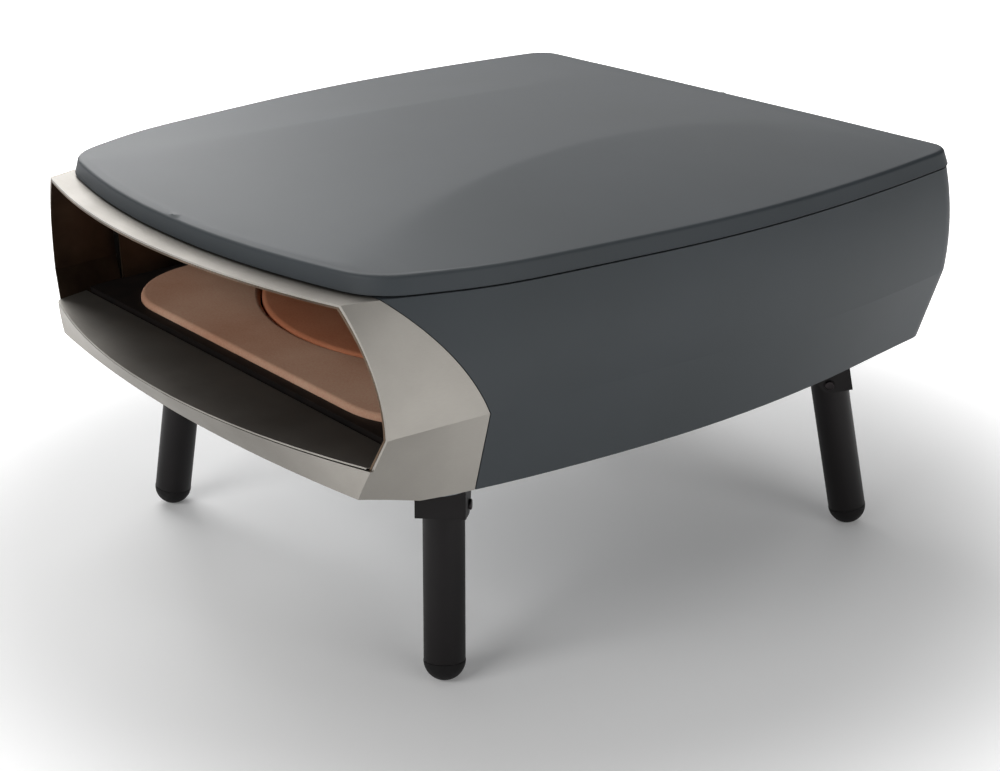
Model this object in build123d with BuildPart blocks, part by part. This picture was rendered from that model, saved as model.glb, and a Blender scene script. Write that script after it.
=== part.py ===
from build123d import *
import math
import os

os.makedirs("parts", exist_ok=True)

# Overall form. Distances back are measured from the widest corners of the mouth, heights from the feet.
shell_length = 540
shell_half_width = 266
nose_reach = 37
knob_reach = 546.5
mouth_y = (nose_reach - knob_reach) / 2
rear_corner = 22

bottom_z = 158
bottom_rear = 538
crease_z = 216
crease_rear = 545
bulge_z = 262
bulge_rear = 542.5
top_z = 301.5
top_rear = 538
fascia_z = 169
lip_z = 192
floor_z = 190

# Sheets, gaps and the one overrun that all cuts use
skin = 1.5
liner_sheet = 1.2
seat_gap = 0.3
flange_gap = 0.4
running_gap = 0.05
overrun = 4
clear_half_width = 300
far_front = -120
far_rear = 620

# Half widths along the side at the bottom, crease, bulge and top, as shares of the shell's half width.
# Each row starts with its place as a share of the shell's length, and the last row stands at the rear wall.
form_shares = (
    (-0.09, 0.745, 0.862, 0.825, 0.745),
    (0.0, 0.775, 0.879, 0.846, 0.768),
    (0.075, 0.824, 0.892, 0.876, 0.826),
    (0.15, 0.864, 0.907, 0.911, 0.886),
    (0.3, 0.915, 0.94, 0.957, 0.943),
    (0.45, 0.945, 0.969, 0.99, 0.983),
    (0.6, 0.95, 0.988, 1.008, 1.0),
    (0.74, 0.931, 0.987, 1.003, 0.991),
    (0.87, 0.897, 0.965, 0.979, 0.966),
    (1.0, 0.865, 0.925, 0.942, 0.93),
)
bottom_level = (1, bottom_z, bottom_rear)
crease_level = (2, crease_z, crease_rear)
bulge_level = (3, bulge_z, bulge_rear)
top_level = (4, top_z, top_rear)


def back(distance):
    """Y of a point this far behind the mouth's widest corners."""
    return mouth_y + distance


def side_points(level, inset):
    """Points of the right side from the front to the rear, drawn inwards by the inset."""
    column, _, rear = level
    points = [(row[column] * shell_half_width - inset, back(row[0] * shell_length)) for row in form_shares]
    points[-1] = (points[-1][0], back(rear - inset))
    return points


def side_x(level, distance):
    """Half width of the form at one level, this far behind the mouth."""
    place = distance / shell_length
    after = [row[0] > place for row in form_shares].index(True)
    front_row, rear_row = form_shares[after - 1], form_shares[after]
    part = (place - front_row[0]) / (rear_row[0] - front_row[0])
    return shell_half_width * (front_row[level[0]] * (1 - part) + rear_row[level[0]] * part)


def draw_plan(level, inset):
    """Draw the form's closed outline at one level in the current sketch."""
    right = side_points(level, inset)
    left = [(-x, y) for x, y in right]
    with BuildLine() as border:
        Spline(*right)
        Line(right[-1], left[-1])
        Spline(*left)
        Line(left[0], right[0])
    make_face(border.edges())


def draw_front(nose, corner, mode=Mode.ADD):
    """Draw the area in front of a bowed edge that passes through the nose and both corners."""
    corner_x, corner_back = corner
    sag = corner_back - nose
    radius = (corner_x**2 + sag**2) / (2 * sag)
    edge_y = back(nose + radius - math.sqrt(radius**2 - clear_half_width**2))
    right_end = (clear_half_width, edge_y)
    left_end = (-clear_half_width, edge_y)
    with BuildLine() as border:
        ThreePointArc(left_end, (0, back(nose)), right_end)
        far_y = back(far_front)
        Polyline(right_end, (clear_half_width, far_y), (-clear_half_width, far_y), left_end)
    make_face(border.edges(), mode=mode)


def plan_outline(height, level, inset, corner=0):
    """Closed outline of the form at one height, with rounded rear corners."""
    with BuildSketch(Plane.XY.offset(height)) as outline:
        draw_plan(level, inset)
        fillet(outline.vertices().group_by(Axis.Y)[-1], corner or rear_corner - inset)
    return outline.sketch


def front_space(height, nose, corner):
    with BuildSketch(Plane.XY.offset(height)) as space:
        draw_front(nose, corner)
    return space.sketch


def oven_form(inset):
    """The oven's closed outer form: a straight lower part and a bulged upper part that meet in a crease."""
    low = plan_outline(bottom_z + inset, bottom_level, inset)
    middle = plan_outline(crease_z, crease_level, inset)
    bulge = plan_outline(bulge_z, bulge_level, inset)
    with BuildPart() as form:
        loft([low, middle], ruled=True)
        loft([middle, bulge, plan_outline(top_z - inset, top_level, inset)])
    return form.part


def block(across, along, upright, mode=Mode.ADD):
    """Block between pairs of sizes: across in x, along as distances back, upright in z."""
    with Locations((sum(across) / 2, back(sum(along) / 2), sum(upright) / 2)):
        Box(across[1] - across[0], along[1] - along[0], upright[1] - upright[0], mode=mode)


def keep_block(half_width, along, upright):
    block((-half_width, half_width), along, upright, Mode.INTERSECT)


def post(radius, place, low, high, mode=Mode.ADD):
    """Upright round post at a place given as x and distance back."""
    with Locations((place[0], back(place[1]), (low + high) / 2)):
        Cylinder(radius, high - low, mode=mode)


def rod_back(radius, x, z, front, rear, mode=Mode.ADD):
    """Round rod that runs from front to rear."""
    with Locations((x, back((front + rear) / 2), z)):
        Cylinder(radius, rear - front, rotation=(90, 0, 0), mode=mode)


def rod_across(radius, distance, z, left, right, mode=Mode.ADD):
    """Round rod that runs from left to right."""
    with Locations(((left + right) / 2, back(distance), z)):
        Cylinder(radius, right - left, rotation=(0, 90, 0), mode=mode)


def save(builder, name):
    builder.part.label = name
    export_step(builder.part, f"parts/{name}.step")


# Bowed front edges, each as its nose and its corner
mouth_nose = -34
mouth_corner = (203, -6)
lip_nose = -nose_reach
lip_corner = (221, -3)
fascia_nose = -21
fascia_corner = (213, -5)
keel_nose = 35
keel_corner = (217, 38)


def shifted(corner, shift):
    return (corner[0], corner[1] + shift)


def bow_space(shift):
    """Space in front of the fascia and under the keel facet, moved into the oven by the shift."""
    with BuildPart() as space:
        loft(
            [
                front_space(lip_z, lip_nose + shift, shifted(lip_corner, shift)),
                front_space(fascia_z + shift, fascia_nose + shift, shifted(fascia_corner, shift)),
                front_space(bottom_z + shift, keel_nose + shift, shifted(keel_corner, shift)),
            ],
            ruled=True,
        )
    return space.part


# Joint between the stainless hood and the painted shell, seen from the side
joint_top_back = 18.5
joint_bow = (50, 268)
joint_crease_back = 81
joint_bottom_back = 76
joint_gap = 0.8


def joint_side(setback, far):
    """Solid between the joint line, moved back by the setback, and a far plane in front or behind."""
    with BuildPart() as side:
        with BuildSketch(Plane.YZ):
            with BuildLine():
                ThreePointArc(
                    (back(joint_top_back + setback), top_z),
                    (back(joint_bow[0] + setback), joint_bow[1]),
                    (back(joint_crease_back + setback), crease_z),
                )
                Polyline(
                    (back(joint_crease_back + setback), crease_z),
                    (back(joint_bottom_back + setback), bottom_z),
                    (back(joint_bottom_back + setback), bottom_z - overrun),
                    (back(far), bottom_z - overrun),
                    (back(far), top_z + overrun),
                    (back(joint_top_back + setback), top_z + overrun),
                    (back(joint_top_back + setback), top_z),
                )
            make_face()
        extrude(amount=clear_half_width, both=True)
    return side.part


# Screws: one size under the cover, one size up through the bottom flange, and rivets through the pan
screw_radius = 2
screw_hole_radius = screw_radius + running_gap
screw_head_radius = 3.5
screw_head_height = 2
screw_tail = 1.5
screw_inset = 8
lid_screw_backs = (130, 260, 390, 500)
flange_screw_backs = (120, 240, 360, 480)
lid_screw_places = [
    (side * (side_x(top_level, distance) - screw_inset), back(distance))
    for side in (-1, 1)
    for distance in lid_screw_backs
]
flange_screw_places = [
    (side * (side_x(bottom_level, distance) - screw_inset), back(distance))
    for side in (-1, 1)
    for distance in flange_screw_backs
]


def punch(places, radius, low, high):
    with Locations(*[(x, y, (low + high) / 2) for x, y in places]):
        Cylinder(radius, high - low, mode=Mode.SUBTRACT)


def add_screws(places, head_low, tip):
    """Screws that point up, from the underside of their heads to their tips."""
    for radius, height in ((screw_head_radius, screw_head_height), (screw_radius, tip - head_low)):
        with Locations(*[(x, y, head_low + height / 2) for x, y in places]):
            Cylinder(radius, height)


outer_form = oven_form(0)
inner_form = oven_form(skin)

# Front hood: brushed stainless sheet with a top plate, side facets, a front panel and an underside
pan_front_back = 52
pan_rear_back = 500
pan_front_half = 205
pan_rear_half = 220
pan_corner = 30
pan_clearance = 2
pan_flange_front = 41

with BuildPart() as hood_hollow:
    add(inner_form)
    add(bow_space(skin), mode=Mode.SUBTRACT)

with BuildPart() as front_hood:
    add(outer_form)
    extrude(front_space(lip_z, mouth_nose, mouth_corner), amount=top_z - lip_z + overrun, mode=Mode.SUBTRACT)
    add(bow_space(0), mode=Mode.SUBTRACT)
    add(hood_hollow.part, mode=Mode.SUBTRACT)
    add(joint_side(0, far_rear), mode=Mode.SUBTRACT)
    pan_hole_half = pan_front_half + pan_clearance
    pan_hole_front = pan_front_back - pan_clearance
    block(
        (-pan_hole_half, pan_hole_half),
        (pan_hole_front, joint_crease_back + overrun),
        (bottom_z - overrun, bottom_z + skin + overrun),
        Mode.SUBTRACT,
    )
save(front_hood, "front_hood")

# Body shell: painted steel side and rear walls with a turned-in flange at the top and at the bottom
top_flange = 24
bottom_flange = 13
opening_corner = 12

with BuildPart() as body_shell:
    add(outer_form)
    add(inner_form, mode=Mode.SUBTRACT)
    add(joint_side(joint_gap, far_front), mode=Mode.SUBTRACT)
    top_opening = plan_outline(top_z - skin - overrun, top_level, top_flange, opening_corner)
    extrude(top_opening, amount=skin + 2 * overrun, mode=Mode.SUBTRACT)
    bottom_opening = plan_outline(bottom_z - overrun, bottom_level, bottom_flange, opening_corner)
    extrude(bottom_opening, amount=skin + 2 * overrun, mode=Mode.SUBTRACT)
    punch(lid_screw_places, screw_hole_radius, top_z - skin - overrun, top_z + overrun)
    punch(flange_screw_places, screw_hole_radius, bottom_z - overrun, bottom_z + skin + overrun)
save(body_shell, "body_shell")

# Top cover: pressed steel lid with a shoulder, an inward flange and a crowned top between two soft creases
lid_nose = -14
lid_corner_point = (224, 20)
lid_corner_radius = 48
lid_overhang = 0.8
lid_draft = 2.6
lid_edge_break = 1.6
lid_rise = 12.8
lid_flange = 12
crown_rise = 18
crown_end_rise = 0.6
seal_height = 1.2
lid_low_z = top_z + seal_height
lid_shoulder_z = lid_low_z + lid_rise

# Half width of the flat crown at even steps from the lid's front to its rear, as shares of the half width.
# The crown starts to rise behind the bowed front edge, level with the lid's front corners.
crown_shares = (0.714, 0.59, 0.474, 0.393, 0.346, 0.331, 0.351, 0.462, 0.643)


def lid_outline(height, grow):
    """Outline of the top cover: the shell's top edge with a bowed front and rounded corners."""
    corner_x, corner_back = lid_corner_point
    with BuildSketch(Plane.XY.offset(height)) as outline:
        draw_plan(top_level, -grow)
        draw_front(lid_nose - grow, (corner_x + grow, corner_back - grow), Mode.SUBTRACT)
        fillet(outline.vertices().group_by(Axis.Y)[0], lid_corner_radius + grow)
        fillet(outline.vertices().group_by(Axis.Y)[-1], rear_corner + grow)
    return outline.sketch


def crown_form(drop):
    """Solid under the lid's crowned top, lowered by the drop."""
    low = lid_low_z - overrun
    shoulder = lid_shoulder_z - drop
    sections = []
    for step, share in enumerate(crown_shares):
        distance = lid_nose + step / (len(crown_shares) - 1) * (top_rear - lid_nose)
        part = max(0, (distance - lid_corner_point[1]) / (top_rear - lid_corner_point[1]))
        edge_x = side_x(top_level, distance)
        crease_x = share * shell_half_width
        crown_z = shoulder + crown_end_rise + (crown_rise - crown_end_rise) * 4 * part * (1 - part)
        with BuildSketch(Plane.XZ.offset(-back(distance))) as section:
            with BuildLine():
                Polyline(
                    (-clear_half_width, low),
                    (-clear_half_width, shoulder),
                    (-edge_x, shoulder),
                    (-crease_x, crown_z),
                    (crease_x, crown_z),
                    (edge_x, shoulder),
                    (clear_half_width, shoulder),
                    (clear_half_width, low),
                    close=True,
                )
            make_face()
        sections.append(section.sketch)
    with BuildPart() as form:
        loft(sections)
    return form.part


lid_top_grow = lid_overhang - lid_draft - lid_edge_break

with BuildPart() as lid_hollow:
    hollow_low = lid_outline(lid_low_z + skin, lid_overhang - skin)
    hollow_shoulder = lid_outline(lid_shoulder_z - skin, lid_top_grow - skin)
    loft([hollow_low, hollow_shoulder], ruled=True)
    extrude(hollow_shoulder, amount=crown_rise + skin)
    add(crown_form(skin), mode=Mode.INTERSECT)

with BuildPart() as top_cover:
    loft(
        [
            lid_outline(lid_low_z, lid_overhang),
            lid_outline(lid_shoulder_z - lid_edge_break, lid_overhang - lid_draft),
            lid_outline(lid_shoulder_z, lid_top_grow),
        ],
        ruled=True,
    )
    extrude(lid_outline(lid_shoulder_z, lid_top_grow), amount=crown_rise)
    add(crown_form(0), mode=Mode.INTERSECT)
    add(lid_hollow.part, mode=Mode.SUBTRACT)
    extrude(lid_outline(lid_low_z, -lid_flange - skin), amount=2 * skin, mode=Mode.SUBTRACT)
    punch(lid_screw_places, screw_hole_radius, lid_low_z - overrun, lid_low_z + skin + overrun / 2)
save(top_cover, "top_cover")

# Seal: a flat ring of woven fibre between the shell's top flange and the cover
seal_inset = 1.5

with BuildPart() as lid_seal:
    extrude(lid_outline(top_z, -seal_inset), amount=seal_height)
    extrude(lid_outline(top_z, -lid_flange - skin), amount=seal_height, mode=Mode.SUBTRACT)
    punch(lid_screw_places, screw_hole_radius, top_z - overrun, lid_low_z + overrun)
save(lid_seal, "lid_seal")

with BuildPart() as lid_screws:
    add_screws(lid_screw_places, top_z - skin - seat_gap - screw_head_height, lid_low_z + skin + screw_tail)
save(lid_screws, "lid_screws")

# Mouth liner: the second sheet inside the hood, from the mouth to the baking chamber
liner_inset = skin + seat_gap
mouth_depth = 60

with BuildPart() as mouth_liner:
    add(oven_form(liner_inset))
    add(oven_form(liner_inset + liner_sheet), mode=Mode.SUBTRACT)
    mouth_space = front_space(lip_z - overrun, mouth_nose, mouth_corner)
    extrude(mouth_space, amount=top_z - lip_z + overrun, mode=Mode.SUBTRACT)
    keep_block(clear_half_width, (far_front, mouth_depth), (floor_z + seat_gap, top_z))
save(mouth_liner, "mouth_liner")

# Oven liner: the box of the baking chamber, which follows the shell where the shell is narrower
chamber_half_width = 229
chamber_rear = 512
chamber_roof_z = 297
chamber_front = mouth_depth + seat_gap

with BuildPart() as chamber_space:
    add(oven_form(liner_inset + liner_sheet))
    keep_block(
        chamber_half_width - liner_sheet,
        (chamber_front - overrun, chamber_rear - liner_sheet),
        (floor_z - overrun, chamber_roof_z - liner_sheet),
    )

with BuildPart() as oven_liner:
    add(oven_form(liner_inset))
    keep_block(chamber_half_width, (chamber_front, chamber_rear), (floor_z + seat_gap, chamber_roof_z))
    add(chamber_space.part, mode=Mode.SUBTRACT)
save(oven_liner, "oven_liner")

# Insulation: a blanket round the sides and rear, and a slab under the cover
blanket_front = 110
slab_height = 15
slab_front = 64

with BuildPart() as wall_insulation:
    add(oven_form(skin + flange_gap))
    keep_block(clear_half_width, (blanket_front, far_rear), (floor_z + seat_gap, chamber_roof_z - seat_gap))
    block(
        (-chamber_half_width - seat_gap, chamber_half_width + seat_gap),
        (blanket_front - overrun, chamber_rear + seat_gap),
        (floor_z - overrun, top_z),
        Mode.SUBTRACT,
    )
save(wall_insulation, "wall_insulation")

with BuildPart() as ceiling_insulation:
    slab_low = chamber_roof_z + seat_gap
    extrude(plan_outline(slab_low, top_level, top_flange + flange_gap, opening_corner), amount=slab_height)
    keep_block(clear_half_width, (slab_front, far_rear), (slab_low, slab_low + slab_height))
save(ceiling_insulation, "ceiling_insulation")

# Sill ramp: brushed tray from the lip to the floor, folded down at its rear edge
ramp_rear = 24
ramp_peak = 1.6
ramp_fold = 3

with BuildPart() as ramp_blank:
    with BuildSketch(Plane.YZ):
        with BuildLine():
            Polyline(
                (back(lip_nose - overrun), lip_z + seat_gap),
                (back(ramp_rear), lip_z + seat_gap + ramp_peak),
                (back(ramp_rear + ramp_fold), floor_z + seat_gap),
            )
            offset(amount=liner_sheet, side=Side.LEFT)
        make_face()
    extrude(amount=clear_half_width, both=True)

with BuildPart() as sill_ramp:
    add(oven_form(liner_inset + liner_sheet + seat_gap))
    add(ramp_blank.part, mode=Mode.INTERSECT)
    extrude(front_space(floor_z, lip_nose, lip_corner), amount=2 * overrun, mode=Mode.SUBTRACT)
save(sill_ramp, "sill_ramp")

# Floor tray: enamelled sheet with a raised apron round the front stone and a well under the turning stone
disc_back = 291.5
disc_radius = 201.5
well_radius = 190
well_floor_z = 154
tray_front = 18
burner_x = 95
burner_back = 480
feed_radius = 6
feed_clearance = 1
feed_hole = feed_radius + feed_clearance
booster_z = 166
shaft_radius = 4
bush_radius = 7
probe_radius = 3
igniter_place = (-70, 488)
probe_place = (-120, 480)
front_stone_half_width = 212
front_stone_front = 38
front_stone_rear = 215
front_stone_corner = 75
pocket_gap = 0.5
apron_z = 197
apron_rear = 212
apron_front = ramp_rear + ramp_fold + liner_sheet + seat_gap
apron_inset = liner_inset + liner_sheet + seat_gap


def stone_plan(height, growth, rear):
    """Outline of the front stone at one height, grown by a gap, with a straight end at the rear."""
    front = front_stone_front - growth
    with BuildSketch(Plane.XY.offset(height)) as outline:
        with Locations((0, back((front + rear) / 2))):
            Rectangle(2 * (front_stone_half_width + growth), rear - front)
        fillet(outline.vertices().group_by(Axis.Y)[0], front_stone_corner + growth)
    return outline.sketch


def apron_form(inset, low):
    """Solid of the raised apron above a low level, drawn inwards by the inset on all other sides."""
    with BuildPart() as form:
        add(oven_form(apron_inset + inset))
        keep_block(
            chamber_half_width - liner_sheet - seat_gap - inset,
            (apron_front + inset, apron_rear - inset),
            (low, apron_z - inset),
        )
        pocket = stone_plan(low - overrun, pocket_gap + inset, apron_rear + overrun)
        extrude(pocket, amount=apron_z - low + 2 * overrun, mode=Mode.SUBTRACT)
    return form.part


with BuildPart() as floor_tray:
    add(oven_form(liner_inset))
    keep_block(chamber_half_width, (lip_nose, chamber_rear), (floor_z - skin, floor_z))
    with BuildSketch(Plane.XY.offset(floor_z - skin)):
        draw_front(lip_nose + tray_front, shifted(lip_corner, tray_front))
    extrude(amount=2 * skin, mode=Mode.SUBTRACT)
    add(apron_form(0, floor_z - skin))
    add(apron_form(skin, floor_z - skin - overrun), mode=Mode.SUBTRACT)
    post(well_radius + skin, (0, disc_back), well_floor_z - skin, floor_z)
    post(well_radius, (0, disc_back), well_floor_z, floor_z + overrun, Mode.SUBTRACT)
    bush_hole = bush_radius + running_gap
    post(bush_hole, (0, disc_back), well_floor_z - overrun, well_floor_z + overrun, Mode.SUBTRACT)
    post(feed_hole, (-burner_x, burner_back), floor_z - overrun, floor_z + overrun, Mode.SUBTRACT)
    rod_back(feed_hole, burner_x, booster_z, disc_back + burner_x, burner_back, Mode.SUBTRACT)
    for place in (igniter_place, probe_place):
        post(probe_radius + seat_gap, place, floor_z - overrun, floor_z + overrun, Mode.SUBTRACT)
save(floor_tray, "floor_tray")

# Stones: a fixed front stone with a round cut-out, and the round turning stone
stone_z = floor_z + seat_gap
stone_height = 11
stone_round = 4
disc_gap = 1.5
spigot_radius = 8
spigot_height = 3.5
spigot_clearance = 0.3

with BuildPart() as front_stone:
    extrude(stone_plan(stone_z, 0, front_stone_rear), amount=stone_height)
    post(disc_radius + disc_gap, (0, disc_back), stone_z, stone_z + stone_height, Mode.SUBTRACT)
    fillet(front_stone.faces().sort_by(Axis.Z)[-1].edges(), stone_round)
save(front_stone, "front_stone")

with BuildPart() as stone_disc:
    post(disc_radius, (0, disc_back), stone_z, stone_z + stone_height)
    fillet(stone_disc.faces().sort_by(Axis.Z)[-1].edges(), stone_round)
    recess_top = floor_z + spigot_height + spigot_clearance
    post(spigot_radius + spigot_clearance, (0, disc_back), stone_z - overrun, recess_top, Mode.SUBTRACT)
save(stone_disc, "stone_disc")

# Turntable: a pierced plate under the disc on a shaft, which runs in a flanged bush in the well's floor
carrier_radius = 180
carrier_plate = 3
carrier_hole_radius = 24
inner_ring = (65, 6)
outer_ring = (130, 12)
hub_radius = 15
hub_height = 12
shaft_low_z = 134
bush_flange_radius = 11
bush_flange = 2

with BuildPart() as turntable_carrier:
    plate_low = floor_z - carrier_plate
    post(carrier_radius, (0, disc_back), plate_low, floor_z)
    for ring_radius, hole_count in (inner_ring, outer_ring):
        with Locations((0, back(disc_back), plate_low)):
            with PolarLocations(ring_radius, hole_count):
                Cylinder(carrier_hole_radius, 2 * overrun, mode=Mode.SUBTRACT)
    post(hub_radius, (0, disc_back), floor_z - hub_height, floor_z)
    post(spigot_radius, (0, disc_back), floor_z - hub_height, floor_z + spigot_height)
    post(shaft_radius + running_gap, (0, disc_back), floor_z - hub_height - overrun, floor_z, Mode.SUBTRACT)
save(turntable_carrier, "turntable_carrier")

with BuildPart() as turntable_shaft:
    post(shaft_radius, (0, disc_back), shaft_low_z, floor_z - seat_gap)
save(turntable_shaft, "turntable_shaft")

with BuildPart() as shaft_bush:
    post(bush_radius, (0, disc_back), well_floor_z - skin - bush_flange, well_floor_z + seat_gap)
    post(bush_flange_radius, (0, disc_back), well_floor_z + seat_gap, well_floor_z + seat_gap + bush_flange)
    bush_bore = shaft_radius + running_gap
    post(bush_bore, (0, disc_back), well_floor_z - skin - overrun, well_floor_z + 2 * overrun, Mode.SUBTRACT)
save(shaft_bush, "shaft_bush")

# Legs, feet, hinge brackets and pins: the same four sets, splayed along the diagonals and folding inwards
pivot_z = 127.5
splay = 10
fold_diagonal = math.sqrt(0.5)
leg_radius = 15
leg_wall = 1.5
leg_head_radius = 14.8
leg_head_length = 18
foot_radius = 15.2
foot_flat = 0.5
foot_plug = 14
pin_radius = 3
pin_head_radius = 4
pin_head = 1.8
pin_head_round = 1.2
ear_gap = 0.4
ear_sheet = 2.5
ear_round = 7
plate_sheet = 2.5
plate_inner_reach = 22
plate_outer_reach = 17
web_low = 6.5
web_high = 14.5
rivet_across = 11
rivet_outer = 11
rivet_inner = 16
front_foot = (194, 71.5)
rear_foot = (208, 478)
pan_low_z = 146
foot_centre_z = foot_radius - foot_flat
leg_length = (pivot_z - foot_centre_z) / math.cos(math.radians(splay))
foot_reach = (pivot_z - foot_centre_z) * math.tan(math.radians(splay)) * fold_diagonal
leg_lean = math.sin(math.radians(splay)) * fold_diagonal
plate_high = pan_low_z - seat_gap - pivot_z
ear_inner = leg_radius + ear_gap
ear_outer = ear_inner + ear_sheet
rivet_places = []

for corner, foot_place, side, end in (
    ("front_left", front_foot, -1, -1),
    ("front_right", front_foot, 1, -1),
    ("rear_left", rear_foot, -1, 1),
    ("rear_right", rear_foot, 1, 1),
):
    pivot_x = side * (foot_place[0] - foot_reach)
    pivot_back = foot_place[1] - end * foot_reach
    bracket_frame = Plane(origin=(pivot_x, back(pivot_back), pivot_z), x_dir=(end, -side, 0), z_dir=(0, 0, 1))
    leg_frame = Plane(
        origin=bracket_frame.origin,
        x_dir=(end, -side, 0),
        z_dir=(-side * leg_lean, -end * leg_lean, math.cos(math.radians(splay))),
    )
    leg_side = Plane(origin=leg_frame.origin, x_dir=leg_frame.y_dir, z_dir=leg_frame.x_dir)
    bracket_side = Plane(origin=bracket_frame.origin, x_dir=bracket_frame.y_dir, z_dir=bracket_frame.x_dir)

    with BuildPart(leg_frame) as leg:
        with Locations((0, 0, seat_gap - leg_length)):
            Cylinder(
                leg_radius,
                leg_length - seat_gap + leg_head_radius,
                align=(Align.CENTER, Align.CENTER, Align.MIN),
            )
        with BuildSketch(leg_side):
            Circle(leg_head_radius)
            with Locations((0, -leg_length / 2)):
                Rectangle(2 * leg_radius, leg_length)
        extrude(amount=leg_radius, both=True, mode=Mode.INTERSECT)
        with Locations((0, 0, -leg_length)):
            Cylinder(
                leg_radius - leg_wall,
                leg_length - leg_head_length,
                align=(Align.CENTER, Align.CENTER, Align.MIN),
                mode=Mode.SUBTRACT,
            )
        bore_length = 2 * (leg_radius + overrun)
        Cylinder(pin_radius + running_gap, bore_length, rotation=(0, 90, 0), mode=Mode.SUBTRACT)
    save(leg, f"leg_{corner}")

    with BuildPart(leg_frame) as foot:
        with Locations((0, 0, -leg_length)):
            Sphere(foot_radius, arc_size1=-90, arc_size2=0, align=None)
            Cylinder(
                leg_radius - leg_wall - seat_gap,
                foot_plug,
                align=(Align.CENTER, Align.CENTER, Align.MIN),
            )
        split(bisect_by=Plane.XY, keep=Keep.TOP)
    save(foot, f"foot_{corner}")

    with BuildPart(bracket_frame) as bracket:
        with BuildSketch(bracket_side.offset(-ear_outer)):
            Circle(ear_round)
            with Locations((plate_outer_reach - plate_inner_reach, plate_high - plate_sheet)):
                Rectangle(2 * plate_outer_reach, plate_sheet, align=(Align.CENTER, Align.MIN))
            with Locations(Location((0, 0, 0), (0, 0, splay))):
                with Locations((leg_radius + seat_gap, -web_low)):
                    Rectangle(ear_sheet, web_low + web_high, align=(Align.MIN, Align.MIN))
            make_hull()
        extrude(amount=2 * ear_outer)
        with Locations((0, (plate_outer_reach - plate_inner_reach) / 2, plate_high)):
            Box(
                2 * ear_outer,
                plate_outer_reach + plate_inner_reach,
                plate_sheet,
                align=(Align.CENTER, Align.CENTER, Align.MAX),
            )
        with Locations((0, 0, plate_high - plate_sheet)):
            Box(
                2 * ear_inner,
                2 * (plate_outer_reach + plate_inner_reach),
                2 * plate_high,
                align=(Align.CENTER, Align.CENTER, Align.MAX),
                mode=Mode.SUBTRACT,
            )
        with Locations(Location((0, 0, 0), (splay, 0, 0))):
            with Locations((0, leg_radius + seat_gap, -web_low)):
                Box(2 * ear_outer, ear_sheet, web_low + web_high, align=(Align.CENTER, Align.MIN, Align.MIN))
        Cylinder(pin_radius + running_gap, 2 * (ear_outer + overrun), rotation=(0, 90, 0), mode=Mode.SUBTRACT)
        for across in (-rivet_across, rivet_across):
            for outward in (-rivet_inner, rivet_outer):
                with Locations((across, outward, plate_high)):
                    Cylinder(screw_hole_radius, 2 * overrun, mode=Mode.SUBTRACT)
    save(bracket, f"bracket_{corner}")

    with BuildPart(bracket_frame) as pin:
        Cylinder(pin_radius, 2 * (ear_outer + seat_gap), rotation=(0, 90, 0))
        for outward in (-1, 1):
            with Locations((outward * (ear_outer + seat_gap + pin_head / 2), 0, 0)):
                Cylinder(pin_head_radius, pin_head, rotation=(0, 90, 0))
        pin_ends = pin.faces().sort_by(Axis(bracket_frame.origin, bracket_frame.x_dir))
        fillet(pin_ends[0].edges() + pin_ends[-1].edges(), pin_head_round)
    save(pin, f"pin_{corner}")

    for across in (-rivet_across, rivet_across):
        for outward in (-rivet_inner, rivet_outer):
            rivet = bracket_frame.from_local_coords((across, outward, 0))
            rivet_places.append((rivet.X, rivet.Y))

# Drive housing and gas box: folded boxes under the pan, riveted to it by side flanges
housing_half = 36
housing_along = (256, 420)
housing_low = 105
housing_wall = 2
gas_half = 130
gas_along = (450, 521.5)
gas_low = 101
gas_wall = 1.5
gas_cap_front = 498.5
box_flange = 8
housing_rivet_backs = (270, 330, 405)
gas_rivet_backs = (460, 490)
battery_along = (346, 412)
battery_half = 29
door_gap = 0.5
door_hinge_z = 106.8
door_barrel = 1.8
door_pin = 1
door_pin_reach = 2
door_hinge_back = battery_along[1] - door_barrel - door_gap
lug_half_length = 4
lug_height = 7
box_top = pan_low_z - seat_gap
door_hinge_hole = door_pin + running_gap
knob_x = burner_x
valve_z = 126
stem_radius = 3
stem_hole = 5
inlet_back = 490
inlet_z = 108.2
inlet_spigot = 5
switch_half_width = 9.5
switch_half_height = 6.9
switch_flange = 1.8
for side in (-1, 1):
    for distance in housing_rivet_backs:
        rivet_places.append((side * (housing_half + box_flange / 2), back(distance)))
    for distance in gas_rivet_backs:
        rivet_places.append((side * (gas_half + box_flange / 2), back(distance)))

with BuildPart() as drive_housing:
    block((-housing_half, housing_half), housing_along, (housing_low, box_top))
    flange_half = housing_half + box_flange
    block((-flange_half, flange_half), housing_along, (box_top - housing_wall, box_top))
    inner_half = housing_half - housing_wall
    inner_along = (housing_along[0] + housing_wall, housing_along[1] - housing_wall)
    inner_upright = (housing_low + housing_wall, box_top + overrun)
    block((-inner_half, inner_half), inner_along, inner_upright, Mode.SUBTRACT)
    lug_along = (door_hinge_back - lug_half_length, door_hinge_back + lug_half_length)
    for side in (-1, 1):
        lug_across = sorted((side * battery_half, side * inner_half))
        block(lug_across, lug_along, (housing_low, housing_low + lug_height))
    block(
        (-battery_half, battery_half),
        battery_along,
        (housing_low - overrun, housing_low + housing_wall + overrun),
        Mode.SUBTRACT,
    )
    pin_half = battery_half + door_pin_reach + door_gap
    rod_across(door_hinge_hole, door_hinge_back, door_hinge_z, -pin_half, pin_half, Mode.SUBTRACT)
    punch(rivet_places, screw_hole_radius, box_top - housing_wall - overrun, box_top + overrun)
save(drive_housing, "drive_housing")

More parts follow.
